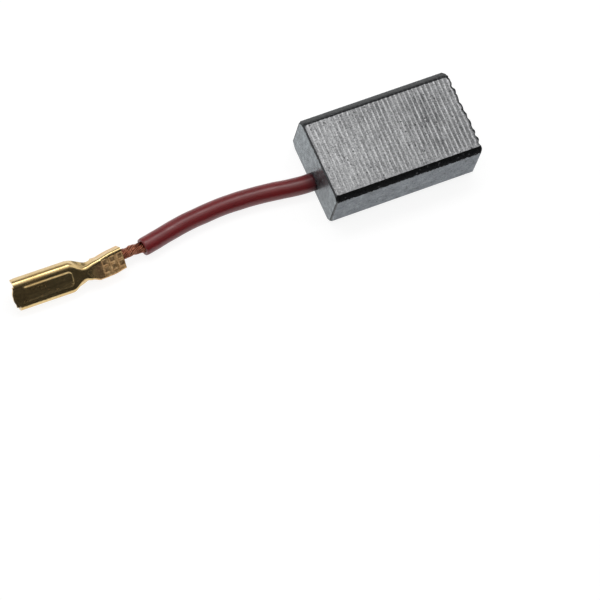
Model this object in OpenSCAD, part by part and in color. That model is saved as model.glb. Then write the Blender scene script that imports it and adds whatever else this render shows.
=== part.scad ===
// Carbon brush: a graphite block with a lead moulded into its rear end, an
// insulating sleeve over the lead and a folded brass receptacle crimped on it.
// Millimetres. The origin is under the middle of the block, +X points to the
// contact end, the lead leaves at -X, and +Z is across the block's thickness.
// The terminal lies with its floor up, rolled over toward -Y.

/* [Carbon block] */
// Length from the lead end to the contact end
block_length = 17; // [12:0.5:24]
// Width across the block
block_width = 10; // [8:0.5:14]
// Thickness between the two ribbed faces
block_thickness = 6; // [5:0.5:9]
// Leg of the 45 degree bevel along the four long edges
edge_bevel = 0.6; // [0.3:0.1:1]
// Leg of the small bevel around the lead end
end_bevel = 0.15; // [0.05:0.05:0.3]

/* [Ribbed faces] */
// Spacing of the ribs that cross both wide faces
rib_pitch = 0.5; // [0.4:0.05:0.8]
// Width of the flat crest left between two grooves
rib_crest = 0.14; // [0.1:0.02:0.2]
// Depth of the grooves
rib_depth = 0.06; // [0.03:0.01:0.1]

/* [Contact end] */
// Spacing of the rounded ridges that run across the thickness
ridge_pitch = 1; // [0.8:0.1:1.4]
// Depth of the valleys between the ridges
ridge_depth = 0.14; // [0.06:0.02:0.2]

/* [Lead] */
// Diameter of the stranded copper rope
rope_diameter = 1.24; // [1:0.02:1.5]
// Length of rope moulded into the block
rope_embedded = 7; // [5:0.5:9]
// Radial clearance around the rope in its bores
rope_clearance = 0.03; // [0.02:0.01:0.06]
// Outer diameter of the sleeve
sleeve_diameter = 1.96; // [1.8:0.02:2]
// Radial clearance between rope and sleeve
sleeve_clearance = 0.06; // [0.04:0.01:0.08]
// Distance of the lead from the middle of the width, toward -Y
lead_offset = 0.3; // [0:0.1:1]
// Height of the lead above the lower wide face
lead_height = 1.1; // [1.1:0.1:2]

/* [Terminal receptacle] */
// Thickness of the brass sheet
sheet = 0.3; // [0.25:0.01:0.35]
// Width over the two curls
receptacle_width = 3.4; // [3:0.1:4.1]
// Height over floor and curls
receptacle_height = 1.7; // [1.6:0.05:2]
// Length of the curls
receptacle_length = 5.9; // [5.8:0.1:7]
// Thickness of the tab that slides in
tab_thickness = 0.5; // [0.4:0.05:0.6]
// Outer radius of the bends between floor and curls
shoulder_radius = 0.6; // [0.5:0.05:0.7]
// Length of floor that stands out past the curls at the mouth
mouth_lip = 0.4; // [0.2:0.1:0.6]
// Length of floor that stands out past the far wall at the mouth
far_wall_lip = 0.14; // [0.1:0.02:0.18]
// How far the rounded middle of the floor's edge stands out at the mouth
floor_nose = 0.16; // [0.06:0.02:0.24]

/* [Terminal panel] */
// Length of the panel pressed outward from the floor
panel_length = 5.7; // [4:0.1:5.8]
// Width of the panel
panel_width = 1.9; // [1.4:0.1:2]
// Height of the panel over the floor
panel_rise = 0.08; // [0.04:0.02:0.14]

/* [Terminal crimp] */
// Length of the narrow neck between receptacle and crimp
neck_length = 2.8; // [2.4:0.1:3.4]
// Width of the neck at its narrowest
neck_width = 1.6; // [1.4:0.1:1.8]
// Length of the crimp
crimp_length = 3.15; // [3:0.05:4]
// Wall on either side of the crimp's bore at the wire end
crimp_side_wall = 0.55; // [0.5:0.02:0.7]
// Wall on either side of the crimp's bore at the neck end
crimp_root_wall = 0.35; // [0.3:0.02:0.44]
// Spacing of the rows of pressed pockets on the crimp
pocket_pitch = 0.88; // [0.8:0.02:0.92]
// Depth of the pockets
pocket_depth = 0.1; // [0.04:0.02:0.12]

/* [Hidden] */

GRAPHITE = [0.45, 0.46, 0.47];
COPPER = [0.55, 0.28, 0.18];
RED_PVC = [0.50, 0.06, 0.07];
BRASS = [0.80, 0.62, 0.25];

eps = 0.01;
half_l = block_length / 2;
half_w = block_width / 2;

// Bore in the block and in the crimp, and the corner radii of the swept tubes.
rope_r = rope_diameter / 2;
bore_d = rope_diameter + 2 * rope_clearance;
sides = 8;
sleeve_inner_r = (rope_r + sleeve_clearance) / cos(180 / sides);
sleeve_outer_r = sleeve_diameter / 2;

// Route of the lead from the rear face to the end of the sleeve, then to the
// crimp, measured from the lead's place on the rear face.
exit_point = [-half_l, -lead_offset, lead_height];
sleeve_route = [
    [0, 0, 0], [-1, 0, 0], [-2.5, 0.15, -0.04], [-4.5, 0.45, -0.1], [-6.5, 0.65, -0.1],
    [-8.5, 0.75, -0.1], [-10.5, 0.75, -0.1], [-12.5, 0.6, -0.1], [-14.5, 0.4, -0.1],
    [-16.5, 0.05, -0.1], [-18.4, -0.35, -0.08], [-19.9, -0.65, -0.04]
];
rope_route = [[-20.7, -0.58, 0.08], [-21.4, -0.64, 0.2]];

// The terminal's own frame: x from the mouth to the wire end, z up to the
// outer face of the floor, both measured from the middle of the section.
terminal_roll = 40;
terminal_yaw = -0.5;
crimp_yaw = 6;
crimp_start = mouth_lip + receptacle_length + neck_length;
crimp_end = [-22.55, -0.816, 0.34];
crimp_width = bore_d + 2 * crimp_side_wall;
crimp_root_width = bore_d + 2 * crimp_root_wall;
first_pocket = crimp_length * 0.335;
floor_top = receptacle_height / 2;
curl_inner_r = shoulder_radius - sheet;
seam_half = 0.2;
lip_r = 0.45;
lip_top = floor_top - sheet - tab_thickness;
panel_start = 0.9;
wing_wall = 0.2;
crimp_height = bore_d + sheet + wing_wall;
rope_drop = bore_d / 2 + sheet - floor_top;
crimp_corner = 0.45;
pocket_rows = 3;
pocket_size = [0.42, 0.5];
pocket_gap = 0.3;

// ---- vectors and swept tubes ----
function unit(v) = v / norm(v);

// Direction of a route at one of its points, from the points on either side.
function heading(route, i) =
    unit(route[min(i + 1, len(route) - 1)] - route[max(i - 1, 0)]);

// One ring of corners around a route's point, square to the route.
function ring(route, i, r) =
    let (t = heading(route, i), s = unit(cross([0, 0, 1], t)), u = cross(t, s))
    [for (k = [0 : sides - 1])
        let (a = (k + 0.5) * 360 / sides)
        route[i] + r * (cos(a) * s + sin(a) * u)];

// Two triangles for the patch between corner k of ring a and of ring b.
function patch(a, b, k, n) =
    [[a + k, a + (k + 1) % n, b + (k + 1) % n], [a + k, b + (k + 1) % n, b + k]];
function turned(faces) = [for (f = faces) [f[2], f[1], f[0]]];
function flat(lists) = [for (l = lists) for (f = l) f];

module rod(route, r) {
    n = len(route);
    points = flat([for (i = [0 : n - 1]) ring(route, i, r)]);
    skin = flat([for (i = [0 : n - 2]) for (k = [0 : sides - 1])
        patch(i * sides, (i + 1) * sides, k, sides)]);
    caps = [for (k = [1 : sides - 2])
        each [[0, k + 1, k], [(n - 1) * sides, (n - 1) * sides + k, (n - 1) * sides + k + 1]]];
    polyhedron(points, turned(concat(skin, caps)));
}

module tube(route, outer, inner) {
    n = len(route);
    in0 = n * sides;
    points = concat(
        flat([for (i = [0 : n - 1]) ring(route, i, outer)]),
        flat([for (i = [0 : n - 1]) ring(route, i, inner)]));
    skin = flat([for (i = [0 : n - 2]) for (k = [0 : sides - 1])
        patch(i * sides, (i + 1) * sides, k, sides)]);
    bore = flat([for (i = [0 : n - 2]) for (k = [0 : sides - 1])
        patch(in0 + i * sides, in0 + (i + 1) * sides, k, sides)]);
    start = flat([for (k = [0 : sides - 1]) patch(in0, 0, k, sides)]);
    finish = flat([for (k = [0 : sides - 1])
        patch(in0 + (n - 1) * sides, (n - 1) * sides, k, sides)]);
    polyhedron(points, turned(concat(skin, turned(bore), start, turned(finish))));
}

// ---- flat outlines ----
module rounded_rect(size, r) {
    square([size[0] - 2 * r, size[1]], center = true);
    square([size[0], size[1] - 2 * r], center = true);
    for (x = [-1, 1], y = [-1, 1])
        translate([x * (size[0] / 2 - r), y * (size[1] / 2 - r)]) circle(r, $fn = 48);
}

// ---- carbon block ----
// Section across the length: a rectangle with four bevels.
module block_section() {
    b = edge_bevel;
    t = block_thickness;
    polygon([
        [-half_w + b, 0], [half_w - b, 0], [half_w, b], [half_w, t - b],
        [half_w - b, t], [-half_w + b, t], [-half_w, t - b], [-half_w, b]]);
}

// Side view: grooves along both wide faces, each with sloping flanks.
rib_count = floor((block_length - 2 * end_bevel) / rib_pitch);
rib_start = -rib_count * rib_pitch / 2;
groove = rib_pitch - rib_crest;
function groove_points(x, z, depth) = [
    [x + rib_crest / 2, z], [x + rib_crest / 2 + groove * 0.25, z + depth],
    [x + rib_crest / 2 + groove * 0.75, z + depth], [x + rib_crest / 2 + groove, z]];

module block_side() {
    t = block_thickness;
    e = end_bevel;
    lower = [for (i = [0 : rib_count - 1])
        each groove_points(rib_start + i * rib_pitch, 0, rib_depth)];
    upper = [for (i = [0 : rib_count - 1])
        each groove_points(rib_start + i * rib_pitch, t, -rib_depth)];
    polygon(concat(
        [[-half_l, e], [-half_l + e, 0]], lower, [[half_l, 0], [half_l, t]],
        [for (i = [len(upper) - 1 : -1 : 0]) upper[i]], [[-half_l + e, t], [-half_l, t - e]]));
}

// Plan view: rounded ridges side by side along the contact end.
module block_plan() {
    ridge_count = floor(block_width / ridge_pitch);
    ridge_r = ridge_pitch * ridge_pitch / (8 * ridge_depth) + ridge_depth / 2;
    margin = (block_width - ridge_count * ridge_pitch) / 2;
    translate([-half_l, -half_w]) square([block_length - ridge_depth, block_width]);
    intersection() {
        square([block_length, block_width], center = true);
        for (i = [0 : ridge_count - 1])
            translate([half_l - ridge_r, -half_w + margin + (i + 0.5) * ridge_pitch])
                circle(ridge_r, $fn = 64);
    }
}

module carbon_block() {
    color(GRAPHITE) difference() {
        intersection() {
            translate([-half_l, 0, 0]) rotate([90, 0, 90])
                linear_extrude(block_length) block_section();
            translate([0, half_w, 0]) rotate([90, 0, 0])
                linear_extrude(block_width) block_side();
            linear_extrude(block_thickness) block_plan();
        }
        translate(exit_point - [1, 0, 0]) rotate([0, 90, 0])
            cylinder(h = rope_embedded + 1, d = bore_d, $fn = 48);
    }
}

// ---- lead ----
function placed(route) = [for (p = route) exit_point + p];

// The crimp's own axis: the rope runs straight along it to the neck end.
crimp_axis = [-cos(crimp_yaw), -sin(crimp_yaw), 0];
crimp_root = crimp_end + crimp_axis * crimp_length;
crimp_stop = crimp_root + crimp_axis * 0.2;

module shunt() {
    color(COPPER) rod(placed(concat(
        [[rope_embedded - eps, 0, 0], [rope_embedded / 2, 0, 0]], sleeve_route, rope_route,
        [crimp_end - crimp_axis * 0.35, crimp_end + crimp_axis * 0.3,
         (crimp_end + crimp_stop) / 2, crimp_stop])), rope_r);
}

module sleeve() {
    color(RED_PVC) tube(placed(sleeve_route), sleeve_outer_r, sleeve_inner_r);
}

// ---- terminal ----
// Half section of the curls: the wall, the bottom and the lip that is turned
// back up toward the floor and leaves room for the tab.
module receptacle_section() {
    difference() {
        rounded_rect([receptacle_width, receptacle_height], shoulder_radius);
        rounded_rect([receptacle_width - 2 * sheet, receptacle_height - 2 * sheet], curl_inner_r);
        translate([-seam_half - lip_r, -receptacle_height / 2 - eps])
            square([2 * (seam_half + lip_r), sheet + 2 * eps]);
    }
    for (side = [0, 1]) mirror([side, 0]) {
        translate([seam_half + lip_r, -floor_top + lip_r]) difference() {
            circle(lip_r, $fn = 48);
            circle(lip_r - sheet, $fn = 48);
            translate([0, -1]) square([1, 2]);
            translate([-1, 0]) square([2, 1]);
        }
        translate([seam_half, -floor_top + lip_r])
            square([sheet, lip_top + floor_top - lip_r]);
    }
}

module along_x(length) {
    rotate([90, 0, 90]) linear_extrude(length) children();
}

// Receptacle and neck with the panel pressed into their floor. The curls are
// cut back at the mouth, the far wall less, and the floor runs on as a lip.
module receptacle() {
    difference() {
        union() {
            translate([mouth_lip, 0, 0]) along_x(receptacle_length) receptacle_section();
            translate([far_wall_lip, 0, 0]) along_x(mouth_lip - far_wall_lip + eps)
                intersection() {
                    receptacle_section();
                    translate([seam_half, curl_inner_r - floor_top]) square(receptacle_width);
                }
            translate([0, 0, floor_top - sheet]) linear_extrude(sheet)
                mouth_lip_plan();
            neck();
            panel(panel_width, panel_rise - sheet, sheet);
        }
        panel(panel_width, -sheet - eps, panel_rise + eps);
    }
}

module mouth_lip_plan() {
    flat_w = receptacle_width - 2 * shoulder_radius;
    nose_w = flat_w / 2;
    polygon([
        [0, -flat_w / 2 + 0.15], [-floor_nose * 0.7, -nose_w / 2], [-floor_nose, 0],
        [-floor_nose * 0.7, nose_w / 2], [0, flat_w / 2 - 0.15], [0.15, flat_w / 2],
        [mouth_lip + 1, flat_w / 2], [mouth_lip + 1, -flat_w / 2], [0.15, -flat_w / 2]]);
}

// The panel in the floor: base is its height over the floor's outer face.
module panel(width, base, thick) {
    translate([panel_start + panel_length / 2, 0, floor_top + base]) linear_extrude(thick)
        rounded_rect([panel_length, width], 0.5);
}

// Neck: a channel whose width and wall depth change along it, from the
// receptacle's floor and walls to the root of the crimp.
neck_steps = 14;
arc_steps = 4;
function ease(t) = (1 - cos(180 * t)) / 2;
function neck_half(t) = t < 0.55
    ? receptacle_width / 2 + (neck_width - receptacle_width) / 2 * ease(t / 0.55)
    : neck_width / 2 + (crimp_root_width - neck_width) / 2 * ease((t - 0.55) / 0.45);
function neck_wall(t) = t < 0.5
    ? 1.15 - 0.35 * ease(t / 0.5)
    : 0.8 + 0.5 * ease((t - 0.5) / 0.5);
function neck_foot(t) = (receptacle_width + (crimp_root_width - receptacle_width) * ease(t)) / 2;
function neck_corner(t) = shoulder_radius + (crimp_corner - shoulder_radius) * t;

// Open channel path from one wall's foot over the floor to the other's. The
// feet stand out by flare: they draw in later along the neck than the floor.
function channel(half, depth, r, top, flare) = concat(
    [[-half - flare, top - depth]],
    [for (k = [0 : arc_steps]) let (a = 180 - 90 * k / arc_steps)
        [-half + r + r * cos(a), top - r + r * sin(a)]],
    [for (k = [0 : arc_steps]) let (a = 90 - 90 * k / arc_steps)
        [half - r + r * cos(a), top - r + r * sin(a)]],
    [[half + flare, top - depth]]);

// The neck's wire end is bent, upright as the lead lies, until it is in line
// with the crimp.
crimp_origin = [crimp_start, 0, -rope_drop];
upright = [0, sin(terminal_roll), cos(terminal_roll)];
function neck_bend(t) = t < 0.5 ? 0 : (crimp_yaw - terminal_yaw) * ease((t - 0.5) / 0.5);
function bent(p, angle) =
    let (v = p - crimp_origin)
    crimp_origin + v * cos(angle) + cross(upright, v) * sin(angle)
        + upright * (upright * v) * (1 - cos(angle));

function neck_ring(t) =
    let (flare = neck_foot(t) - neck_half(t),
         outer = channel(neck_half(t) - eps, neck_wall(t), neck_corner(t), floor_top - eps, flare),
         inner = channel(neck_half(t) - sheet, neck_wall(t) - sheet + eps,
                         neck_corner(t) - sheet + eps, floor_top - sheet, flare),
         n = len(inner),
         x = mouth_lip + receptacle_length - 0.1 + (neck_length + 0.2) * t)
    [for (p = concat(outer, [for (i = [n - 1 : -1 : 0]) inner[i]]))
        bent([x, p[0], p[1]], neck_bend(t))];

module neck() {
    rings = [for (i = [0 : neck_steps]) neck_ring(i / neck_steps)];
    m = len(rings[0]);
    half = m / 2;
    last = neck_steps * m;
    skin = flat([for (i = [0 : neck_steps - 1]) for (k = [0 : m - 1])
        patch(i * m, (i + 1) * m, k, m)]);
    ends = flat([for (k = [0 : half - 2]) [
        [k, k + 1, m - 2 - k], [k, m - 2 - k, m - 1 - k],
        [last + k + 1, last + k, last + m - 2 - k],
        [last + k, last + m - 1 - k, last + m - 2 - k]]]);
    polyhedron(flat(rings), concat(skin, turned(ends)));
}

// Crimp: two wings rolled in on the rope until they meet in a seam below.
module crimp_section(width) {
    lobe = width * 0.29;
    base = floor_top - crimp_height;
    intersection() {
        translate([0, floor_top - crimp_height / 2])
            rounded_rect([width, crimp_height], crimp_corner);
        union() {
            translate([-width / 2, base + lobe]) square([width, crimp_height]);
            for (side = [-1, 1])
                translate([side * (width / 2 - lobe), base + lobe]) circle(lobe, $fn = 64);
        }
    }
}

module crimp_plan() {
    polygon([
        [-1, -crimp_root_width / 2], [0, -crimp_root_width / 2],
        [crimp_length * 0.7, -crimp_width / 2], [crimp_length + 1, -crimp_width / 2],
        [crimp_length + 1, crimp_width / 2], [crimp_length * 0.7, crimp_width / 2],
        [0, crimp_root_width / 2], [-1, crimp_root_width / 2]]);
}

module crimp() {
    difference() {
        intersection() {
            along_x(crimp_length) crimp_section(crimp_width);
            translate([0, 0, -2]) linear_extrude(4) crimp_plan();
        }
        translate([-1, 0, -rope_drop]) rotate([0, 90, 0])
            cylinder(h = crimp_length + 2, d = bore_d, $fn = 48);
        for (i = [0 : pocket_rows - 1], side = [-1, 1])
            translate([
                first_pocket + i * pocket_pitch,
                side * (pocket_gap + pocket_size[1]) / 2,
                floor_top - pocket_depth])
                linear_extrude(1) square(pocket_size, center = true);
    }
}

// The terminal is placed by the rope at the root of its crimp, where it is
// bent a little.
module terminal() {
    color(BRASS) translate(exit_point + crimp_root) {
        rotate([terminal_roll, 0, crimp_yaw]) translate([0, 0, rope_drop]) crimp();
        rotate([terminal_roll, 0, terminal_yaw]) translate([-crimp_start, 0, rope_drop])
            receptacle();
    }
}

carbon_block();
shunt();
sleeve();
terminal();
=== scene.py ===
"""Carbon brush: stranded copper lead, red sleeve, folded brass terminal and ribbed
graphite block, with their materials and a white studio.

The frame is the CAD model's. Shapes are worked out in millimetres, and mesh_object()
turns them into metres. The materials' textures are scaled in metres."""

import math

import bmesh
import bpy
import numpy as np
from mathutils import Matrix, Vector, noise


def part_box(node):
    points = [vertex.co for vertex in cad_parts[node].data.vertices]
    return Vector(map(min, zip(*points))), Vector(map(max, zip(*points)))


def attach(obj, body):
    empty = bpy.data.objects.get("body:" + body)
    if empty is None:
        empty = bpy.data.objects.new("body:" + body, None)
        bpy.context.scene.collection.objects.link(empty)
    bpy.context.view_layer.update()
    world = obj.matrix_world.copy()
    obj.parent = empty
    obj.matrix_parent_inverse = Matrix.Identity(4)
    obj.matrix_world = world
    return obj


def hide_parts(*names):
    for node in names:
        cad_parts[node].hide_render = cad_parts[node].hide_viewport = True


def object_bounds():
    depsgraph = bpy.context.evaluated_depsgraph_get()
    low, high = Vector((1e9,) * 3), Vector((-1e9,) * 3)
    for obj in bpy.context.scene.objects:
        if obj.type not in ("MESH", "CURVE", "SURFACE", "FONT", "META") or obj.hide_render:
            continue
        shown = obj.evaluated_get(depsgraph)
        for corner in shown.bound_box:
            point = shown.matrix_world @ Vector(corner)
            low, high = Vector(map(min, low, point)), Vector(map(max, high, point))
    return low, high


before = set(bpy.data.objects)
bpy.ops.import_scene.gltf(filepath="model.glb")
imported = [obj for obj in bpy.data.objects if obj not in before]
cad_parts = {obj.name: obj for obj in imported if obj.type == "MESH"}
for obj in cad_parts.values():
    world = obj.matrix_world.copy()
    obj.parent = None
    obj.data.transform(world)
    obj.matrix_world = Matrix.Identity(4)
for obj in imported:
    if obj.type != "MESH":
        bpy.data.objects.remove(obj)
cad_low, cad_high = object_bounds()
MM = 0.001
TURN = 2 * math.pi
# The block lies with the middle of its lower wide face at the origin.
HALF_X, HALF_Y, HEIGHT = (round(side / MM, 3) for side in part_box("carbon_block")[1])
MIDDLE_X = round((cad_low[0] + cad_high[0]) / 2 / MM)  # of the whole object


# ---------------------------------------------------------------- helpers
def mesh_object(name, points, faces, smooth=True):
    """A mesh object from points in millimetres."""
    mesh = bpy.data.meshes.new(name)
    mesh.from_pydata([tuple(c * MM for c in p) for p in points], [], faces)
    mesh.update()
    if smooth:
        mesh.shade_smooth()
    obj = bpy.data.objects.new(name, mesh)
    bpy.context.scene.collection.objects.link(obj)
    return obj


def weld(obj, distance=2e-7):
    """Joins the points that lie on each other and turns every face outward."""
    bm = bmesh.new()
    bm.from_mesh(obj.data)
    bmesh.ops.remove_doubles(bm, verts=bm.verts, dist=distance)
    bmesh.ops.recalc_face_normals(bm, faces=bm.faces)
    bm.to_mesh(obj.data)
    bm.free()


def drop_loose_points(obj):
    """Deletes the points that no face uses."""
    bm = bmesh.new()
    bm.from_mesh(obj.data)
    bmesh.ops.delete(bm, geom=[v for v in bm.verts if not v.link_faces], context="VERTS")
    bm.to_mesh(obj.data)
    bm.free()


def apply_modifiers(obj):
    """The object's mesh takes in its modifiers, and none is left."""
    graph = bpy.context.evaluated_depsgraph_get()
    mesh = bpy.data.meshes.new_from_object(obj.evaluated_get(graph))
    obj.modifiers.clear()
    obj.data = mesh


def point_values(obj, **layers):
    """Stores a number for each point of the mesh under each name."""
    for name, values in layers.items():
        layer = obj.data.attributes.new(name, "FLOAT", "POINT")
        layer.data.foreach_set("value", values)


def shade_with_edges(obj, degrees):
    """Smooth shading, apart from edges sharper than the angle."""
    obj.data.shade_smooth()
    obj.data.set_sharp_from_angle(angle=math.radians(degrees))


def ease(t):
    """0 to 1 with a level start and end."""
    t = min(max(t, 0.0), 1.0)
    return t * t * (3 - 2 * t)


def between(x, knots):
    """A value that eases from knot to knot along x."""
    for (x0, v0), (x1, v1) in zip(knots, knots[1:]):
        if x <= x1:
            return v0 + (v1 - v0) * ease((x - x0) / (x1 - x0))
    return knots[-1][1]


def spline(points, step):
    """A smooth line through the points, with one point about every step."""
    pts = [Vector(p) for p in points]
    pts = [2 * pts[0] - pts[1]] + pts + [2 * pts[-1] - pts[-2]]
    line = []
    for p0, p1, p2, p3 in zip(pts, pts[1:], pts[2:], pts[3:]):
        count = max(2, round((p2 - p1).length / step))
        d0, d1, d2 = ((b - a).length ** 0.5 for a, b in ((p0, p1), (p1, p2), (p2, p3)))
        m1 = (p1 - p0) / d0 - (p2 - p0) / (d0 + d1) + (p2 - p1) / d1
        m2 = (p2 - p1) / d1 - (p3 - p1) / (d1 + d2) + (p3 - p2) / d2
        m1, m2 = m1 * d1, m2 * d1
        for i in range(count):
            t = i / count
            line.append(
                (2 * t**3 - 3 * t**2 + 1) * p1
                + (t**3 - 2 * t**2 + t) * m1
                + (-2 * t**3 + 3 * t**2) * p2
                + (t**3 - t**2) * m2
            )
    return line + [pts[-2]]


def frames(line):
    """For each point of a line: the point, two directions square to it, and the
    distance along it. The directions don't twist."""
    out, run = [], 0.0
    side = None
    for i, p in enumerate(line):
        t = (line[min(i + 1, len(line) - 1)] - line[max(i - 1, 0)]).normalized()
        side = t.cross(Vector((0, 0, 1))) if side is None else side - t * side.dot(t)
        side.normalize()
        if i:
            run += (p - line[i - 1]).length
        out.append((p, side.copy(), side.cross(t).normalized(), run))
    return out


def tube_points(line_frames, radius_at, sides):
    """Rings of points round a line."""
    return [[p + radius_at(run) * (math.cos(w) * a + math.sin(w) * b)
             for w in (TURN * k / sides for k in range(sides))]
            for p, a, b, run in line_frames]


def skin(rings, first):
    """Faces between the rings, whose points start at index first."""
    m = len(rings[0])
    faces = []
    for i in range(len(rings) - 1):
        for k in range(m):
            a, b = first + i * m + k, first + i * m + (k + 1) % m
            faces.append((a, b, b + m, a + m))
    return faces


class Nodes:
    """Short calls for a material's nodes."""

    def __init__(self, tree):
        self.tree = tree
        tree.nodes.clear()

    def add(self, kind, **settings):
        """A node. Each setting is one of its own properties or an input."""
        node = self.tree.nodes.new(kind)
        for key, value in settings.items():
            if hasattr(node, key):
                setattr(node, key, value)
            else:
                self.put(node, key.replace("_", " "), value)
        return node

    def put(self, node, socket, value):
        if isinstance(value, bpy.types.NodeSocket):
            self.tree.links.new(value, node.inputs[socket])
        else:
            node.inputs[socket].default_value = value

    def position(self):
        return self.add("ShaderNodeTexCoord").outputs["Object"]

    def attribute(self, name):
        return self.add("ShaderNodeAttribute", attribute_name=name).outputs["Fac"]

    def math(self, op, a, b):
        node = self.add("ShaderNodeMath", operation=op)
        self.put(node, 0, a)
        self.put(node, 1, b)
        return node.outputs[0]

    def times(self, a, b):
        return self.math("MULTIPLY", a, b)

    def total(self, *terms):
        """The sum of value times weight over the terms."""
        result = None
        for value, weight in terms:
            part = value if weight == 1 else self.times(value, weight)
            result = part if result is None else self.math("ADD", result, part)
        return result

    def frayed(self, value, grain, amount):
        """The value with its borders frayed by a noise."""
        return self.math("ADD", value, self.times(self.math("SUBTRACT", grain, 0.5), amount))

    def vector(self, op, a, b=(0, 0, 0)):
        node = self.add("ShaderNodeVectorMath", operation=op)
        self.put(node, 0, a)
        self.put(node, 1, b)
        return node.outputs["Value" if op == "LENGTH" else "Vector"]

    def noise(self, where, scale, detail, rough):
        node = self.add("ShaderNodeTexNoise", Scale=scale, Detail=detail, Roughness=rough)
        self.put(node, "Vector", where)
        return node.outputs["Fac"]

    def ramp(self, value, stops):
        """The colour at the value, from (value, colour) stops."""
        node = self.add("ShaderNodeValToRGB")
        elements = node.color_ramp.elements
        while len(elements) < len(stops):
            elements.new(0.5)
        for element, (at, colour) in zip(elements, stops):
            element.position = at
            element.color = (*colour, 1)
        self.put(node, "Fac", value)
        return node.outputs["Color"]

    def scale(self, value, low, high, to_low=0.0, to_high=1.0):
        """The value's place between low and high, clamped, as to_low to to_high."""
        node = self.add("ShaderNodeMapRange")
        for key, v in (("Value", value), ("From Min", low), ("From Max", high),
                       ("To Min", to_low), ("To Max", to_high)):
            self.put(node, key, v)
        return node.outputs["Result"]

    def mix(self, fac, a, b):
        """The colour fac of the way from a to b."""
        node = self.add("ShaderNodeMix", data_type="RGBA")
        self.put(node, 0, fac)
        for socket, colour in ((6, a), (7, b)):
            if not isinstance(colour, bpy.types.NodeSocket):
                colour = (*colour, 1)
            self.put(node, socket, colour)
        return node.outputs[2]

    def stretched(self, where, factors):
        node = self.add("ShaderNodeMapping")
        self.put(node, "Vector", where)
        self.put(node, "Scale", factors)
        return node.outputs[0]

    def bump(self, height, distance, strength):
        node = self.add("ShaderNodeBump", Distance=distance, Strength=strength)
        self.put(node, "Height", height)
        return node.outputs["Normal"]

    def shown_white(self):
        """1 where the camera, a reflection or clear stuff shows the surface."""
        path = self.add("ShaderNodeLightPath")
        mirrored = self.math("MAXIMUM", path.outputs["Is Glossy Ray"],
                             path.outputs["Is Transmission Ray"])
        return self.math("MAXIMUM", path.outputs["Is Camera Ray"], mirrored)

    def surface(self, **inputs):
        """The Principled shader and the material's output."""
        shader = self.add("ShaderNodeBsdfPrincipled", **inputs)
        self.output(shader)

    def output(self, shader, kind="ShaderNodeOutputMaterial"):
        self.put(self.add(kind), "Surface", shader.outputs[0])


def new_material(name):
    material = bpy.data.materials.new(name)
    material.use_nodes = True
    return material, Nodes(material.node_tree)


def finish_piece(obj, node, material):
    """The piece stands in for a CAD node, which it hides, and takes the material and a place under
    the root body.
    """
    obj.data.materials.clear()
    obj.data.materials.append(material)
    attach(obj, "root")
    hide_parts(node)


# ---------------------------------------------------------------- camera
# It looks down past the lead's near side at a point of the floor. The angles are in
# degrees: azimuth from +X toward +Y, elevation over the floor, and roll to the left.
CAMERA_AIM = Vector((-14.91, -11.83, 0)) * MM
CAMERA_DISTANCE = 0.4185
CAMERA_AZIMUTH, CAMERA_ELEVATION, CAMERA_ROLL = -132.82, 66.57, 20.68


def photo_camera():
    data = bpy.data.cameras.new("camera")
    data.lens, data.sensor_width = 240, 36
    data.clip_start, data.clip_end = 0.01, 20
    camera = bpy.data.objects.new("camera", data)
    bpy.context.scene.collection.objects.link(camera)
    turn = (Matrix.Rotation(math.radians(CAMERA_AZIMUTH + 90), 4, "Z")
            @ Matrix.Rotation(math.radians(90 - CAMERA_ELEVATION), 4, "X")
            @ Matrix.Rotation(math.radians(CAMERA_ROLL), 4, "Z"))
    place = CAMERA_AIM + turn @ Vector((0, 0, CAMERA_DISTANCE))
    camera.matrix_world = Matrix.Translation(place) @ turn
    bpy.context.scene.camera = camera


photo_camera()


# ---------------------------------------------------------------- materials
def copper_material():
    """Bare copper wire, browned unevenly, with a lighter tone where it is rubbed. The
    attribute 'inner' is 1 on the cores, which only fill the gaps with shade."""
    material, n = new_material("bare_copper")
    where = n.position()
    stain = n.noise(where, 900, 4, 0.6)
    fine = n.noise(where, 6000, 2, 0.5)
    tone = n.ramp(stain, [(0.30, (0.16, 0.050, 0.030)), (0.52, (0.42, 0.150, 0.085)),
                          (0.72, (0.80, 0.40, 0.25))])
    tone = n.mix(n.scale(fine, 0.45, 0.75), tone, (0.24, 0.075, 0.045))
    tone = n.mix(n.attribute("inner"), tone, (0.045, 0.014, 0.009))
    n.surface(Base_Color=tone, Metallic=0.9,
              Roughness=n.scale(stain, 0.3, 0.7, 0.42, 0.22),
              Normal=n.bump(fine, 0.00001, 0.5))
    return material


def sleeve_material():
    """Translucent red PVC with faint draw lines and a slightly cloudy skin, painted dark near the
    block as painted shade where the block shades it."""
    material, n = new_material("red_pvc")
    where = n.position()
    cloud = n.noise(where, 500, 3, 0.55)
    lines = n.noise(n.stretched(where, (120, 2600, 2600)), 1.0, 3, 0.6)
    tone = n.mix(n.scale(cloud, 0.3, 0.7), (0.32, 0.022, 0.026), (0.25, 0.017, 0.020))
    along = n.add("ShaderNodeSeparateXYZ", Vector=where).outputs["X"]
    # Painted shade: the sleeve's colour darkens over its last millimetre before the block.
    block_shade = n.scale(n.total((along, 1), (cloud, 0.0004)), -0.0096, -0.0084)
    tone = n.mix(n.times(block_shade, 0.8), tone, (0.085, 0.022, 0.028))
    n.surface(Base_Color=tone, Roughness=n.scale(lines, 0.3, 0.7, 0.27, 0.42),
              IOR=1.6, Transmission_Weight=0.36,
              Normal=n.bump(n.total((cloud, 1.5), (lines, 1)), 0.00002, 0.5))
    return material


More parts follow.
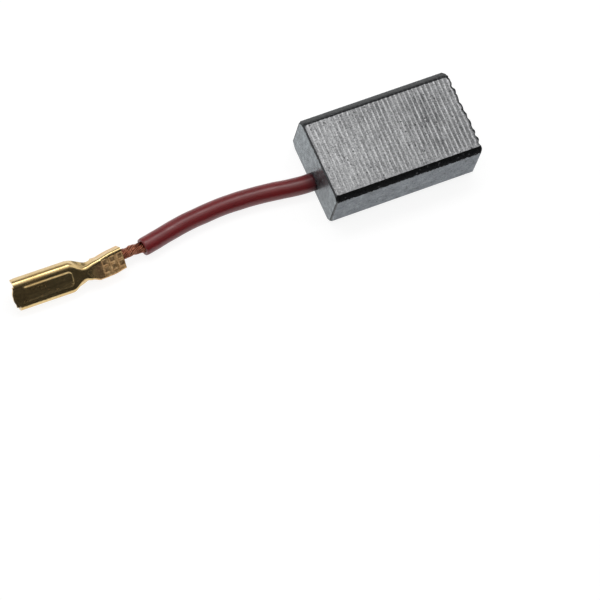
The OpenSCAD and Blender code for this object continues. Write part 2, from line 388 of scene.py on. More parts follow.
def brass_material():
    """Rolled brass sheet: fine rolling lines along the terminal, faint stains and small handling
    marks. The attribute 'worked' is 1 on the crimp, whose face the tool left matt, and 'dent' is 1
    or more in its pockets and on the neck, which are painted brown as painted shade."""
    material, n = new_material("rolled_brass")
    where = n.position()
    rolled = n.noise(n.stretched(where, (250, 4200, 4200)), 1.0, 4, 0.6)
    stain = n.noise(where, 420, 4, 0.6)
    marks = n.noise(where, 2600, 3, 0.65)
    bright = n.mix(n.scale(stain, 0.35, 0.75), (0.73, 0.55, 0.27), (0.62, 0.42, 0.175))
    bright = n.mix(n.scale(marks, 0.55, 0.75), bright, (0.42, 0.26, 0.10))
    matt = n.mix(n.scale(marks, 0.36, 0.62), (0.50, 0.25, 0.095), (0.95, 0.63, 0.31))
    # Painted shade: the pockets and the neck are darkened brown.
    brown_shade = n.times(n.attribute("dent"), n.scale(marks, 0.38, 0.62, 0.95, 0.45))
    matt = n.mix(brown_shade, matt, (0.15, 0.075, 0.035))
    worked = n.scale(n.frayed(n.attribute("worked"), marks, 1.8), 0.2, 0.8)
    rough = n.total((n.scale(rolled, 0.3, 0.7, 0.15, 0.25), 1),
                    (n.scale(stain, 0.45, 0.8, 0.0, 0.10), 1), (worked, 0.26))
    height = n.total((rolled, 1), (n.times(marks, n.scale(worked, 0, 1, 1.6, 2.6)), 1),
                     (stain, 1.5))
    n.surface(Base_Color=n.mix(n.times(worked, 0.85), bright, matt),
              Metallic=n.scale(worked, 0, 1, 1.0, 0.75), Roughness=rough,
              Normal=n.bump(height, 0.000012, 0.5))
    return material


def rib_tone(n, where, mottle):
    """The wide faces: bright crests, worn duller toward the rear end, and mottled
    grey grooves. The attribute 'groove' is the depth in a groove, 0 to 1."""
    trough = n.ramp(mottle, [(0.40, (0.072, 0.072, 0.074)), (0.5, (0.212, 0.212, 0.217)),
                             (0.60, (0.38, 0.38, 0.387))])
    crest = n.ramp(mottle, [(0.38, (0.38, 0.38, 0.385)), (0.50, (0.62, 0.62, 0.63)),
                            (0.60, (0.84, 0.84, 0.85))])
    worn = n.ramp(mottle, [(0.38, (0.30, 0.30, 0.304)), (0.50, (0.60, 0.60, 0.608)),
                           (0.60, (0.78, 0.78, 0.79))])
    along = n.add("ShaderNodeSeparateXYZ", Vector=where).outputs["X"]
    crest = n.mix(n.scale(along, -0.008, 0.006), worn, crest)
    return n.mix(n.scale(n.attribute("groove"), 0.05, 0.95), crest, trough)


def wheel_arcs(n, where):
    """Arcs that the grinding wheel left, as rings round a centre below the block."""
    centre = n.vector("SUBTRACT", where, (0.004, 0.0, -0.030))
    radius = n.vector("LENGTH", n.vector("MULTIPLY", centre, (1, 0, 1)))
    rings = n.add("ShaderNodeCombineXYZ", X=n.times(radius, 3600)).outputs[0]
    return n.noise(rings, 1.0, 3, 0.6)


def pits(n, where):
    """1 in small pits, which gather in patches. A noise bends their outlines."""
    bend = n.add("ShaderNodeTexNoise", Scale=2500.0, Vector=where).outputs["Color"]
    offset = n.add("ShaderNodeVectorMath", operation="SCALE", Scale=0.00022)
    n.put(offset, 0, bend)
    cells = n.add("ShaderNodeTexVoronoi", feature="F1", Scale=3100.0, Randomness=1.0,
                  Vector=n.vector("ADD", where, offset.outputs["Vector"]))
    pick = n.add("ShaderNodeSeparateColor", Color=cells.outputs["Color"]).outputs[0]
    chosen = n.math("LESS_THAN", pick, 0.28)
    pit = n.times(n.scale(cells.outputs["Distance"], 0.18, 0.38, 1.0, 0.0), chosen)
    return n.times(pit, n.scale(n.noise(where, 420, 3, 0.6), 0.42, 0.56, 0.2, 1.0))


def pressed_tone(n, where, patches, speckle):
    """The pressed rear end, dull grey, with a painted shadow and reflection of the lead as a dark
    patch round the lead's exit.
    """
    pressed = n.ramp(n.total((patches, 0.7), (speckle, 0.3)),
                     [(0.39, (0.065, 0.072, 0.077)), (0.49, (0.145, 0.159, 0.168)),
                      (0.59, (0.27, 0.295, 0.31))])
    # Painted shade: a dark patch round the lead's exit stands in for the lead's shadow and
    # reflection.
    lead_shade = n.vector("LENGTH", n.vector("SUBTRACT", where, (-0.0085, -0.0022, 0.0022)))
    lead_shade = n.scale(n.total((lead_shade, 1), (patches, 0.003)), 0.0062, 0.0026)
    return n.mix(n.times(lead_shade, 0.55), pressed, (0.062, 0.062, 0.066))


def graphite_material():
    """Pressed carbon graphite. Of its attributes, 'ground' is 1 on ground faces, which are grey
    and pitted, and 0 on the pressed skin of bevels and rear end, which is lustrous: black, or grey
    where 'rear' is 1. 'side' is 1 on the narrow sides, and 'torn' on rims that crumbled, which are
    painted dark as the painted shade of their crevices."""
    material, n = new_material("carbon_graphite")
    where = n.position()
    side, rear = n.attribute("side"), n.attribute("rear")
    mask = n.scale(n.frayed(n.attribute("ground"), n.noise(where, 5200, 3, 0.6), 0.35),
                   0.42, 0.58)
    patches = n.noise(where, 1300, 4, 0.7)
    speckle = n.noise(where, 5600, 3, 0.7)
    streak = n.noise(n.stretched(where, (4800, 600, 600)), 1.0, 4, 0.7)
    mottle = n.total((patches, 0.12), (streak, 0.48), (speckle, 0.40))
    grain = n.noise(where, 6200, 3, 0.75)
    arcs = wheel_arcs(n, where)
    pit = pits(n, where)

    plain = n.ramp(n.total((patches, 0.55), (speckle, 0.45)),
                   [(0.38, (0.088, 0.098, 0.111)), (0.47, (0.245, 0.271, 0.304)),
                    (0.55, (0.325, 0.357, 0.396)), (0.63, (0.52, 0.556, 0.60))])
    face = n.mix(side, rib_tone(n, where, mottle), plain)
    face = n.mix(n.scale(grain, 0.34, 0.54), n.mix(0.72, face, (0.03, 0.03, 0.031)), face)
    face = n.mix(n.times(side, n.scale(arcs, 0.38, 0.62, 0.0, 0.35)), face,
                 (0.10, 0.105, 0.11))
    face = n.mix(n.times(pit, 0.9), face, (0.012, 0.012, 0.012))

    black = n.mix(n.scale(mottle, 0.35, 0.75), (0.002, 0.002, 0.0022), (0.008, 0.008, 0.0085))
    pressed = n.mix(rear, black, pressed_tone(n, where, patches, speckle))
    # Painted shade: the crumbled rims are darkened as if shaded in their crevices.
    crevice_shade = n.scale(n.frayed(n.attribute("torn"), mottle, 0.9), 0.38, 0.55)
    tone = n.mix(crevice_shade, n.mix(mask, pressed, face), (0.03, 0.03, 0.032))

    rough = n.total((n.scale(mask, 0, 1, 0.22, 0.46), 1),
                    (n.scale(grain, 0.3, 0.7, 0.0, 0.06), 1), (crevice_shade, 0.3))
    rubbed = n.times(n.total((grain, 1), (mottle, 0.6)), n.scale(mask, 0, 1, 0.7, 1.0))
    height = n.total((rubbed, 1), (pit, -2.5), (n.times(arcs, side), 0.8))
    n.surface(Base_Color=tone, Metallic=n.math("MAXIMUM", n.times(mask, 0.30), n.times(rear, 0.6)),
              Roughness=rough, IOR=1.6, Specular_Tint=(0.92, 0.97, 1.0, 1.0),
              Normal=n.bump(height, 0.00003, 0.45))
    return material


copper, red_pvc, brass, graphite = (
    copper_material(), sleeve_material(), brass_material(), graphite_material())


# ---------------------------------------------------------------- lead
# The routes repeat part.scad's. They start where the lead leaves the block.
EXIT = Vector((-HALF_X, -0.3, 1.1))
ROUTE_IN_BLOCK = [(6.99, 0, 0), (3.5, 0, 0)]
SLEEVE_ROUTE = [
    (0, 0, 0), (-1, 0, 0), (-2.5, 0.15, -0.04), (-4.5, 0.45, -0.1), (-6.5, 0.65, -0.1),
    (-8.5, 0.75, -0.1), (-10.5, 0.75, -0.1), (-12.5, 0.6, -0.1), (-14.5, 0.4, -0.1),
    (-16.5, 0.05, -0.1), (-18.4, -0.35, -0.08), (-19.9, -0.65, -0.04)]
BARE_ROUTE = [(-20.7, -0.58, 0.08), (-21.4, -0.64, 0.2)]
CRIMP_END = Vector((-22.55, -0.816, 0.34))
CRIMP_YAW = math.radians(6)
CRIMP_LENGTH = 3.15
ROPE_TAIL = 0.2  # length of rope beyond the crimp's root
crimp_axis = Vector((-math.cos(CRIMP_YAW), -math.sin(CRIMP_YAW), 0))
crimp_root = CRIMP_END + crimp_axis * CRIMP_LENGTH
rope_route = ROUTE_IN_BLOCK + SLEEVE_ROUTE + BARE_ROUTE + [
    CRIMP_END - crimp_axis * 0.35, CRIMP_END + crimp_axis * 0.3,
    CRIMP_END + crimp_axis * (CRIMP_LENGTH + ROPE_TAIL) / 2,
    crimp_root + crimp_axis * ROPE_TAIL]

BUNDLES, BUNDLE_ORBIT, BUNDLE_RADIUS, BUNDLE_LAY = 5, 0.37, 0.225, 5.4
WIRES, WIRE_RADIUS, WIRE_LAY = 5, 0.078, 4.0  # in one bundle
ROPE_CORE, BUNDLE_CORE = 0.16, 0.10  # radii of the fillings
SLEEVE_RADIUS, SLEEVE_BORE, SLEEVE_SIDES = 0.98, 0.72, 56


def placed(route):
    return [EXIT + Vector(p) for p in route]


def stranded_rope():
    """Bundles of wires laid round a core, each wire its own tube. Returns the piece
    and the points along its middle, in metres."""
    guide = frames(spline(placed(rope_route), 0.2))
    points, faces, inner = [], [], []

    def wire(line, radius, sides, inside=0.0):
        rings = tube_points(frames(line), lambda run: radius, sides)
        first = len(points)
        for ring in rings:
            points.extend(ring)
            inner.extend([inside] * sides)
        faces.extend(skin(rings, first))
        faces.append(tuple(first + k for k in range(sides))[::-1])
        last = first + (len(rings) - 1) * sides
        faces.append(tuple(last + k for k in range(sides)))

    def wound(line_frames, orbit_at, lay, share):
        """A line that winds round another, one turn for each lay."""
        line = []
        for p, a, b, run in line_frames:
            w = TURN * (run / lay + share)
            line.append(p + orbit_at(run) * (math.cos(w) * a + math.sin(w) * b))
        return line

    # the cores are out of sight, so they have fewer rings than the wires
    wire([p for p, a, b, run in guide[::3]], ROPE_CORE, 8, 1.0)
    for bundle in range(BUNDLES):

        def orbit(run):
            return BUNDLE_ORBIT * (1 + 0.05 * noise.noise(Vector((run * 0.6, bundle * 7.3, 0))))

        middle = wound(guide, orbit, BUNDLE_LAY, bundle / BUNDLES)
        wire(middle[::2], BUNDLE_CORE, 6, 1.0)
        middle_frames = frames(middle)
        for strand in range(WIRES):
            wire(wound(middle_frames, lambda run: BUNDLE_RADIUS - WIRE_RADIUS, WIRE_LAY,
                       strand / WIRES), WIRE_RADIUS, 8)
    obj = mesh_object("shunt_wires", points, faces)
    point_values(obj, inner=inner)
    finish_piece(obj, "shunt", copper)
    return obj, [tuple(p * MM) for p, a, b, run in guide]


def pvc_sleeve():
    """The hollow sleeve, cut square at its far end, with its outer rim rounded and its
    bore drawn in a little there."""
    line = frames(spline(placed(SLEEVE_ROUTE), 0.25))
    length = line[-1][3]
    rim, mouth = 0.05, 0.6
    sides = SLEEVE_SIDES

    def outer(run):
        swell = 1 + 0.006 * math.sin(run * 1.7) + 0.004 * math.sin(run * 3.1 + 1)
        tip = max(0.0, rim - (length - run))
        return SLEEVE_RADIUS * swell - (rim - math.sqrt(max(rim * rim - tip * tip, 0)))

    def inner(run):
        return SLEEVE_BORE - 0.07 * ease((run - length + mouth) / mouth)

    rings, bore = tube_points(line, outer, sides), tube_points(line, inner, sides)
    points = [p for ring in rings + bore for p in ring]
    half = len(rings) * sides
    end = half - sides
    faces = skin(rings, 0) + [f[::-1] for f in skin(bore, half)]
    for k in range(sides):
        j = (k + 1) % sides
        faces.append((j, k, half + k, half + j))
        faces.append((end + k, end + j, half + end + j, half + end + k))
    obj = mesh_object("pvc_sleeve", points, faces)
    weld(obj)
    finish_piece(obj, "sleeve", red_pvc)
    return obj


rope, rope_path = stranded_rope()
sleeve = pvc_sleeve()


# ---------------------------------------------------------------- terminal
# One brass sheet: x runs from the mouth to the wire end, z up to the floor's
# outer face, both from the middle of the section, as in part.scad.
SHEET, TOP = 0.28, 0.85
MOUTH_LIP, CURL_LENGTH, NECK_LENGTH = 0.4, 5.9, 2.8
MOUTH_CUTS = {-1: (MOUTH_LIP, MOUTH_LIP), 1: (0.14, 0.55)}  # start of wall and curl, by side
CURL_END = MOUTH_LIP + CURL_LENGTH
CRIMP_START = CURL_END + NECK_LENGTH
WIRE_END = CRIMP_START + CRIMP_LENGTH
BEND_START = 7.4
CURL_HALF, CURL_RADIUS, LIP_RADIUS, SEAM_HALF = 1.7, 0.6, 0.45, 0.2
MATT_START, MATT_FULL = 7.6, 9.8  # the crimp's matt skin sets in between these
NECK_SHADE, NECK_END = 1.45, 9.95  # how dark the neck's painted shade is, and where that ends
CRIMP_HEIGHT = 1.8
FLOOR_NOSE = 0.16  # how far the floor's edge stands out at the mouth's middle
FIRST_POCKET, POCKET_PITCH = CRIMP_START + CRIMP_LENGTH * 0.335, 0.88
ROPE_DROP = 0.1  # from the section's middle down to the rope's
BODY_YAW, ROLL = math.radians(-0.5), Matrix.Rotation(math.radians(40), 3, "X")
terminal_origin = EXIT + crimp_root
# Points across half of the sheet, from the middle: floor, shoulder, wall.
FLOOR_POINTS, SHOULDER_POINTS, WALL_POINTS = 15, 9, 5
CURL_KEY, WING_KEY = 100, 200  # where the keys of the points beyond the wall start


def terminal_place(x, y, z):
    """A point of the terminal's own frame, in the CAD frame."""
    bend = ease((x - BEND_START) / (CRIMP_START - BEND_START))
    yaw = Matrix.Rotation(BODY_YAW + (CRIMP_YAW - BODY_YAW) * bend, 3, "Z")
    return terminal_origin + yaw @ (ROLL @ Vector((x - CRIMP_START, y, z + ROPE_DROP)))


def half_width(x, side):
    """From the middle to the wall; side is -1 toward -Y."""
    if side < 0:
        return between(x, [(0, CURL_HALF), (CURL_END, CURL_HALF), (7.85, 0.8), (8.5, 0.95),
                           (9.3, 1.3), (11.0, 1.36), (WIRE_END, 1.25)])
    return between(x, [(0, CURL_HALF), (CURL_END, CURL_HALF), (7.85, 0.8),
                       (CRIMP_START, 1.0), (11.2, 1.19), (WIRE_END, 1.2)])


def wall_foot(x, side):
    """From the middle to the wall's foot. Beyond the curls the foot draws in later
    than the floor does, and on the crimp it leans in under the shoulder."""
    w = half_width(x, side)
    foot = between(x, [(0, CURL_HALF), (CURL_END, CURL_HALF), (8.6, 0.98),
                       (CRIMP_START, 1.0)])
    return w + max(foot - w, 0) - 0.12 * ease((x - CRIMP_START) / 0.6)


def shoulder(x):
    """Radius of the bend between floor and wall."""
    return between(x, [(0, CURL_RADIUS), (CURL_END, CURL_RADIUS), (7.8, 0.42),
                       (CRIMP_START, 0.36), (10.0, 0.27), (WIRE_END, 0.27)])


def wall_depth(x):
    """From the floor's outer face down to the wall's foot."""
    return between(x, [(0, 1.1), (CURL_END, 1.1), (7.7, 0.8), (CRIMP_START - 0.1, 1.05),
                       (CRIMP_START + 0.3, 1.1), (WIRE_END, 1.1)])


def outline(x, side):
    """Half of the sheet's outer section: floor, shoulder and upper wall."""
    w, r, d = half_width(x, side), shoulder(x), wall_depth(x)
    flare = wall_foot(x, side) - w
    pts = [(y, TOP) for y in np.linspace(0, w - r, FLOOR_POINTS)]
    pts += [(w - r + r * math.sin(a), TOP - r + r * math.cos(a))
            for a in np.linspace(0, math.pi / 2, SHOULDER_POINTS + 1)[1:]]
    pts += [(w + flare * (TOP - r - z) / (d - r), z)
            for z in np.linspace(TOP - r, TOP - d, WALL_POINTS + 1)[1:]]
    return pts


def curl_path(x, side):
    """The rest of the receptacle's section, the same all along it and on both sides:
    lower bend, underside and lip."""
    w, r, lip, seam = CURL_HALF, CURL_RADIUS, LIP_RADIUS, SEAM_HALF
    pts = [(w - r + r * math.cos(a), -TOP + r - r * math.sin(a))
           for a in np.linspace(0, math.pi / 2, 9)[1:]]
    pts += [(y, -TOP) for y in np.linspace(w - r, seam + lip, 4)[1:]]
    pts += [(seam + lip - lip * math.sin(a), -TOP + lip - lip * math.cos(a))
            for a in np.linspace(0, math.pi / 2, 8)[1:]]
    return pts + [(seam, z) for z in np.linspace(-TOP + lip, 0.04, 4)[1:]]


def wing_path(x, side):
    """The rest of the crimp's section: a wing rolled in until it meets the other."""
    w = wall_foot(x, side)
    lobe = min(w * 0.58, 0.66)  # radius of the wing's roll
    base = TOP - CRIMP_HEIGHT
    gap, turned_in = 0.012, 0.18
    pts = [(w, z) for z in np.linspace(TOP - wall_depth(x), base + lobe, 3)[1:]]
    stop = math.acos(max(-1, -(w - lobe - gap) / lobe))
    pts += [(w - lobe + lobe * math.cos(a), base + lobe - lobe * math.sin(a))
            for a in np.linspace(0, stop, 14)[1:]]
    tip = pts[-1][1]
    pts += [(gap, tip + turned_in), (gap + 0.002, tip + 2 * turned_in)]
    return pts


def panel_rise(x, y):
    """Height of the raised panel in the floor. The panel's far edge and wire end are
    crisp, and it runs out gently toward the near edge and the mouth end."""
    start, end, half, corner = 0.9, 6.6, 0.95, 0.55
    height, border, fade_across, fade_along = 0.105, 0.25, 0.85, 0.5
    cx = max(x - (end - corner), 0)
    cy = max(abs(y) - (half - corner), 0)
    edge = corner - math.hypot(cx, cy)
    slope = min(max((y + half) / fade_across, 0), 1)
    return height * slope * ease(edge / border) * ease((x - start) / fade_along)


def pocket(x, y):
    """1 in the pockets that the crimp tool pressed, 0 beside them."""
    half_length, half_across, off_middle = 0.27, 0.30, 0.42
    reach, border = 1.15, 0.4  # as shares of the half sizes
    deep = 0.0
    for row in range(3):
        for side in (-1, 1):
            dx = abs(x - FIRST_POCKET - row * POCKET_PITCH) / half_length
            dy = abs(y - side * off_middle) / half_across
            deep = max(deep, ease((reach - max(dx, dy)) / border))
    return deep


def crimp_relief(x, y):
    """The crimp tool's marks on the outer face: rows of pockets and raised lines
    between them."""
    pocket_depth, line_height, line_half = 0.08, 0.045, 0.13
    line_end, line_fade = 1.0, 0.2
    rise = -pocket_depth * pocket(x, y)
    for row in range(-1, 3):
        middle = FIRST_POCKET + (row + 0.5) * POCKET_PITCH
        across = ease((line_end - abs(y)) / line_fade)
        rise += line_height * ease(1 - abs(x - middle) / line_half) * across
    return rise


def floor_relief(x, y):
    return panel_rise(x, y) + (crimp_relief(x, y) if x > CRIMP_START - 0.2 else 0.0)


def along_terminal():
    """Where the sheet's grid has its rows, from the mouth's rounded edge on."""
    rows = [0.0, 0.06, 0.14, 0.24, 0.33]
    for start, end, count in ((MOUTH_LIP, CURL_END, 80), (CURL_END, CRIMP_START, 38),
                              (CRIMP_START, WIRE_END, 70)):
        rows += list(np.round(np.linspace(start, end, count), 4))
    return sorted(set(rows))


def folded_terminal():
    """The outer face of the sheet as a grid, made solid inward."""
    points, faces, index, worked, dents = [], [], {}, [], []
    pressed = FLOOR_POINTS + 2  # the floor's marks reach into the shoulder

    def vertex(x, side, key, y, z):
        """The index of the point with this key across the sheet, made once."""
        tag = (x, side if key else 0, key)
        if tag not in index:
            index[tag] = len(points)
            nose = 0.0
            if key < FLOOR_POINTS:
                nose = FLOOR_NOSE * ease((0.9 - abs(y)) / 0.6) * ease((0.35 - x) / 0.35)
            points.append(terminal_place(x - nose, side * y, z))
            if side < 0 or key < FLOOR_POINTS - 2:
                tooled = 1.0
            else:  # the far shoulder stays bright and the far wall half bright
                tooled = 0.5 * (key > FLOOR_POINTS + SHOULDER_POINTS)
            worked.append(ease((x - MATT_START) / (MATT_FULL - MATT_START)) * tooled)
            # Painted shade: the neck and the pockets get a dark brown tone.
            neck = NECK_SHADE * ease((NECK_END - x) / 0.4) * ease((x - BEND_START) / 0.8)
            dents.append(max(pocket(x, side * y), neck) if key < pressed else 0.0)
        return index[tag]

    def column(x, side):
        return [vertex(x, side, k, y, z + (floor_relief(x, side * y) if k < pressed else 0.0))
                for k, (y, z) in enumerate(outline(x, side))]

    xs = along_terminal()
    for x0, x1 in zip(xs, xs[1:]):
        for side in (-1, 1):
            a, b = column(x0, side), column(x1, side)
            wall_cut, curl_cut = MOUTH_CUTS[side]
            stop = len(a) - 1 if x0 >= wall_cut - 1e-6 else FLOOR_POINTS - 1
            more, first_key = None, 0
            if curl_cut <= x0 + 0.01 and x1 <= CURL_END + 1e-6:
                more, first_key = curl_path, CURL_KEY
            elif x0 >= CRIMP_START - 1e-6:
                more, first_key = wing_path, WING_KEY
            if more:
                for line, x in ((a, x0), (b, x1)):
                    line += [vertex(x, side, first_key + k, y, z)
                             for k, (y, z) in enumerate(more(x, side))]
                stop = len(a) - 1
            for k in range(stop):
                quad = (a[k], a[k + 1], b[k + 1], b[k])
                faces.append(quad if side == -1 else quad[::-1])
    obj = mesh_object("terminal_sheet", points, faces)
    point_values(obj, worked=worked, dent=dents)
    drop_loose_points(obj)
    solid = obj.modifiers.new("sheet", "SOLIDIFY")
    solid.thickness, solid.offset, solid.use_even_offset = SHEET * MM, -1, True
    apply_modifiers(obj)
    shade_with_edges(obj, 50)
    finish_piece(obj, "terminal", brass)
    return obj


terminal = folded_terminal()


# ---------------------------------------------------------------- block
BEVEL, END_BEVEL, BEVEL_BULGE = 0.6, 0.19, 0.22
FAR_BEVEL = 0.22  # extra width on the far side
RIB_PITCH, RIB_CREST, RIB_FLANK, RIB_DEPTH = 0.5, 0.10, 0.10, 0.06
RIDGE_PITCH, RIDGE_DEPTH, RIDGE_PROUD = 1.0, 0.14, 0.08
Z_STEPS = 26
TOP_SEED, BOTTOM_SEED = 1.0, 8.0


def rib_groove(x, y):
    """0 on a crest, 1 at the bottom of a groove between two ribs. The crests wander
    a little, and the ribs are shallower toward the rear end."""
    drift = 0.05 * noise.noise(Vector((x * 0.9, y * 0.25, 3.1)))
    across = 0.988 * x - 0.02 * y - 0.067 + drift  # the ribs lie a little askew
    phase = (across / RIB_PITCH) % 1.0
    from_crest = min(phase, 1 - phase) * RIB_PITCH - RIB_CREST / 2
    deep = ease(from_crest / RIB_FLANK + 0.25)
    strength = 0.52 + 0.48 * ease((x + 8) / 12)
    patch = 0.90 + 0.22 * noise.noise(Vector((x * 0.35, y * 0.45, 9.0)))
    return deep * strength * min(patch, 1.0)


def shown_groove(x, y):
    """The groove as the material shows it: its contrast fades toward the near bevel."""
    middle = 0.55
    seen = 0.2 + 0.8 * ease((y + HALF_Y - BEVEL) / 0.8)
    return middle + (rib_groove(x, y) - middle) * seen


def bevel_wear(x, seed):
    """How far a bevel's border wanders."""
    return (0.03 * noise.noise(Vector((x * 1.7, seed, 0)))
            + 0.012 * noise.noise(Vector((x * 6, seed, 4))))


def bevel_width(x, y):
    """Width of the long bevel on y's side, seen from above."""
    return BEVEL + (FAR_BEVEL + 1.8 * bevel_wear(x, 1.0) if y > 0 else bevel_wear(x, 2.0))


def in_corner(a, b, radius):
    """Depth inside a corner of two edges that lie a and b away, rounded by radius."""
    return radius - math.hypot(max(radius - a, 0), max(radius - b, 0))


def ground_share(x, y):
    """1 on the ground face and 0 beyond its border, which turns round corners at
    the rear end and at the far end of the contact edge."""
    rear_corner, contact_corner, border = 0.35, 0.55, 0.12
    inside_y = HALF_Y - bevel_width(x, y) - abs(y) - (0.04 if y > 0 else 0.0)
    inside_x = x + HALF_X - END_BEVEL
    inside = min(inside_y, inside_x, in_corner(inside_x, inside_y, rear_corner))
    if y > 0:
        inside = min(inside, in_corner(HALF_X - 0.1 - x, inside_y, contact_corner))
    return min(max(0.5 + inside / border, 0.0), 1.0)


def end_plane(y, z):
    """x of the contact end: rounded ridges side by side, chipped along their rims,
    with worn corners."""
    u = ((y + HALF_Y) / RIDGE_PITCH) % 1.0 - 0.5
    valley = RIDGE_DEPTH * (2 * u) ** 2
    rim_width, chip_depth = 0.4, 0.16
    near_rim = ease(1 - min(z, HEIGHT - z) / rim_width)
    chipped = max(0.0, noise.noise(Vector((y * 2.6, z * 2.6, 5.5))) + 0.2)
    chip = chip_depth * near_rim * chipped
    reach = 0.45 if y < 0 else 0.8
    corner = reach * 0.5 * ease((abs(y) - HALF_Y + reach) / reach) * (0.6 + 0.4 * near_rim)
    return HALF_X + RIDGE_PROUD - valley - chip - corner


def section_top(x, y):
    """z of the plain section over y: the flat, or the bevel beside it, which bulges."""
    width = bevel_width(x, y)
    over = abs(y) - (HALF_Y - width)
    if over <= 0:
        return HEIGHT
    run = over / width
    return HEIGHT - BEVEL * run + BEVEL_BULGE * BEVEL * run * (1 - run)


def end_shrink(x):
    """How far the section is drawn in at the small bevel of the rear end."""
    return max(0.0, END_BEVEL - (x + HALF_X)) * 0.9


def drawn_in(y, amount):
    """y, drawn in where it is on the section's outer edge."""
    return y - math.copysign(amount, y) * (abs(y) > HALF_Y - 0.01)


def surface_wear(x, y, seed):
    """How deep the wide face lies under the plain section: ribs, hollows and the
    crumbled rim of the contact end."""
    hollow_depth, rim_depth = 0.012, 0.12
    rib_fade = 0.22 if y > 0 else 0.45  # toward the long bevel
    sink = RIB_DEPTH * rib_groove(x, y) * ease((HALF_Y - BEVEL - abs(y)) / rib_fade)
    sink += hollow_depth * max(0.0, noise.noise(Vector((x * 2.2, y * 2.2, seed))))
    rim_seed = 0 if seed == TOP_SEED else 6.0
    rim = 0.16 + 0.10 * noise.noise(Vector((y * 1.9, 2.0, rim_seed)))
    return sink + rim_depth * ease((x - HALF_X + rim) / rim) ** 2


def block_point(x, y, z):
    """A point of the block. Its last millimetre before the contact end stretches to
    meet the ridges."""
    stretch = 1.0
    share = ease((x - (HALF_X - stretch)) / stretch)
    return Vector((x + (end_plane(y, z) - HALF_X) * share, y, z))


def graded(stops):
    """Sorted samples from (start, end, count) spans."""
    out = []
    for a, b, n in stops:
        out += list(np.linspace(a, b, n, endpoint=False))
    return out + [stops[-1][1]]


def carbon_block():
    """Grids on the six sides, welded, with worn bevels, ribs and end ridges."""
    near, far = -HALF_Y + BEVEL, HALF_Y - BEVEL
    xs = graded([(-HALF_X, -HALF_X + END_BEVEL, 3), (-HALF_X + END_BEVEL, HALF_X - 0.15, 320),
                 (HALF_X - 0.15, HALF_X, 6)])
    ys = graded([(-HALF_Y, near - 0.1, 5), (near - 0.1, near + 0.15, 6),
                 (near + 0.15, far - 0.3, 84), (far - 0.3, far, 5), (far, HALF_Y, 6)])
    zs = graded([(BEVEL, HEIGHT - BEVEL, Z_STEPS)])
    points, faces, data = [], [], []

    def add(p, ground, groove, side, rear=0.0, contact=False):
        """Adds a point with the values that the material reads. Rims are torn at the contact end,
        and painted dark there as the shade of their crevices: along its edge on the other faces,
        and round it on its own."""
        rim = 0.13 + 0.26 * noise.noise(Vector((p.y * 2.2, p.z * 2.2, 1.0)))
        torn = ease((p.x - HALF_X + rim) / 0.16)
        if contact:
            torn = ease((rim + 0.15 - min(p.z, HEIGHT - p.z)) / 0.3)
        points.append(p)
        data.append((ground, groove, side, rear, torn))
        return len(points) - 1

    def grid(rows):
        for r0, r1 in zip(rows, rows[1:]):
            for k in range(len(r0) - 1):
                faces.append((r0[k], r0[k + 1], r1[k + 1], r1[k]))

    def wide_point(x, y, seed):
        z = section_top(x, y) - end_shrink(x)
        y_in = drawn_in(y, end_shrink(x))
        wear = surface_wear(x, y_in, seed)
        p = block_point(x, y_in, z - wear if seed == TOP_SEED else HEIGHT - z + wear)
        return add(p, ground_share(x, y), shown_groove(x, y), 0.0)

    def side_point(x, sign, z):
        ground = 1.0 if x > -HALF_X + END_BEVEL * 0.9 else 0.0
        return add(block_point(x, sign * (HALF_Y - end_shrink(x)), z), ground, 0.0, 1.0)

    def end_row(x, y):
        """One row up the rear or the contact end."""
        s = end_shrink(x)
        top = section_top(x, y) - s
        low = HEIGHT - top
        y = drawn_in(y, s)
        row = []
        for k in range(Z_STEPS + 1):
            z = low + (top - low) * k / Z_STEPS
            if x > 0:
                valley = (2 * (((y + HALF_Y) / RIDGE_PITCH) % 1.0) - 1) ** 2
                row.append(add(Vector((end_plane(y, z), y, z)), 1.0, 0.45 + 0.5 * valley, 0.0,
                               contact=True))
            else:
                row.append(add(Vector((x, y, z)), 0.0, 0.0, 0.0, rear=1.0))
        return row

    for seed in (TOP_SEED, BOTTOM_SEED):
        grid([[wide_point(x, y, seed) for y in ys] for x in xs])
    for sign in (-1, 1):
        grid([[side_point(x, sign, z) for z in zs] for x in xs])
    for x in (-HALF_X, HALF_X):
        grid([end_row(x, y) for y in ys])
    obj = mesh_object("graphite_block", points, faces, smooth=False)
    ground, groove, side, rear, torn = zip(*data)
    point_values(obj, ground=ground, groove=groove, side=side, rear=rear, torn=torn)
    weld(obj, 3e-6)
    shade_with_edges(obj, 32)
    finish_piece(obj, "carbon_block", graphite)


carbon_block()


# ---------------------------------------------------------------- studio
FLOOR_Z = -0.02  # just under the object


def studio_floor():
    """A pale floor that shows white and keeps a soft shadow of the object."""
    radii, sides = [0.02 * 1.35**k for k in range(18)], 48
    points = [(0, 0, FLOOR_Z)]
    points += [(1000 * r * math.cos(TURN * k / sides), 1000 * r * math.sin(TURN * k / sides),
                FLOOR_Z) for r in radii for k in range(sides)]
    faces = [(0, 1 + k, 1 + (k + 1) % sides) for k in range(sides)]
    faces += skin([range(sides)] * len(radii), 1)
    floor = mesh_object("studio_floor", points, faces, smooth=False)
    material, n = new_material("floor_paper")
    paper = n.add("ShaderNodeBsdfDiffuse", Color=(0.24, 0.24, 0.24, 1))
    glow = n.add("ShaderNodeEmission", Color=(1, 1, 1, 1),
                 Strength=n.math("ADD", 0.42, n.times(n.shown_white(), 0.44)))
    both = n.add("ShaderNodeAddShader")
    n.put(both, 0, paper.outputs[0])
    n.put(both, 1, glow.outputs[0])
    n.output(both)
    floor.data.materials.append(material)


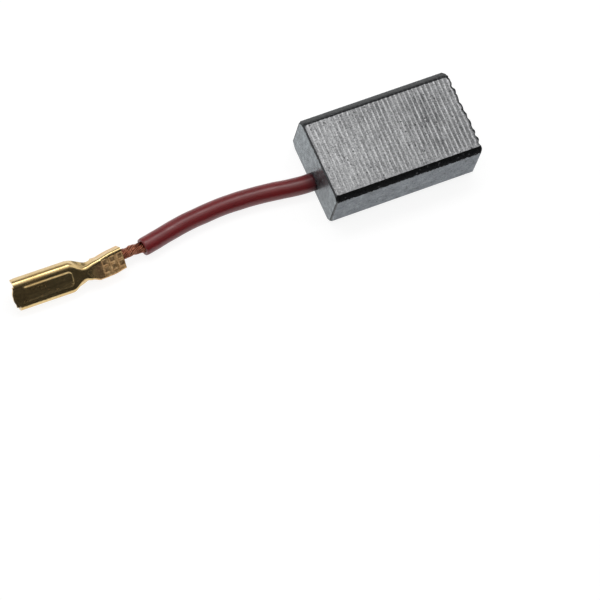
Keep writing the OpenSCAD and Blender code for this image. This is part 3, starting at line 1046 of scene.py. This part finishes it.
def studio_flag(name, azimuth, spread, tones):
    """A card beside the object, curved round it, whose grey changes with height.
    azimuth is the side it stands on, in degrees from +X; tones gives the grey at
    rising elevations seen from the object."""
    points, faces, greys = [], [], []
    across, up, distance = 24, 24, 500.0
    low, high = tones[0][0], tones[-1][0]
    for i in range(across + 1):
        a = math.radians(azimuth + spread * (i / across - 0.5))
        for j in range(up + 1):
            angle = low + (high - low) * j / up
            e = math.radians(angle)
            points.append((distance * math.cos(e) * math.cos(a) + MIDDLE_X,
                           distance * math.cos(e) * math.sin(a), distance * math.sin(e)))
            greys.append(float(np.interp(angle, *zip(*tones))))
    for i in range(across):
        for j in range(up):
            a = i * (up + 1) + j
            faces.append((a, a + 1, a + up + 2, a + up + 1))
    flag = mesh_object(name, points, faces)
    point_values(flag, grey=greys)
    material, n = new_material(name + "_cloth")
    n.output(n.add("ShaderNodeBsdfDiffuse", Color=n.attribute("grey")))
    flag.data.materials.append(material)
    flag.visible_camera = False


def studio_light():
    """Even white surroundings with one soft box overhead, a little behind."""
    world = bpy.data.worlds.new("studio")
    bpy.context.scene.world = world
    world.use_nodes = True
    n = Nodes(world.node_tree)
    level = n.scale(n.shown_white(), 0, 1, 0.88, 1.0)
    n.output(n.add("ShaderNodeBackground", Color=(1, 1, 1, 1), Strength=level),
             "ShaderNodeOutputWorld")

    length, width, brightness = 0.40, 0.12, 3.4
    light = bpy.data.lights.new("overhead", "AREA")
    light.shape, light.size, light.size_y = "RECTANGLE", length, width
    light.energy = length * width * math.pi * brightness
    lamp = bpy.data.objects.new("overhead", light)
    bpy.context.scene.collection.objects.link(lamp)
    lamp.location = (MIDDLE_X * MM, 0.18, 0.45)
    aim = Vector((MIDDLE_X * MM, 0, 0)) - lamp.location
    lamp.rotation_euler = aim.to_track_quat("-Z", "Y").to_euler()


studio_floor()
studio_flag("near_flag", -90, 130, [
    (0.5, 0.45), (5, 0.16), (12, 0.06), (20, 0.055), (29, 0.08), (38, 0.105), (46, 0.18),
    (54, 0.28), (62, 0.42), (72, 0.6)])
studio_flag("far_flag", 90, 110, [(1, 0.9), (14, 0.85), (24, 0.5), (34, 0.45), (50, 0.7)])
studio_light()
bpy.context.scene.view_settings.view_transform = "Standard"
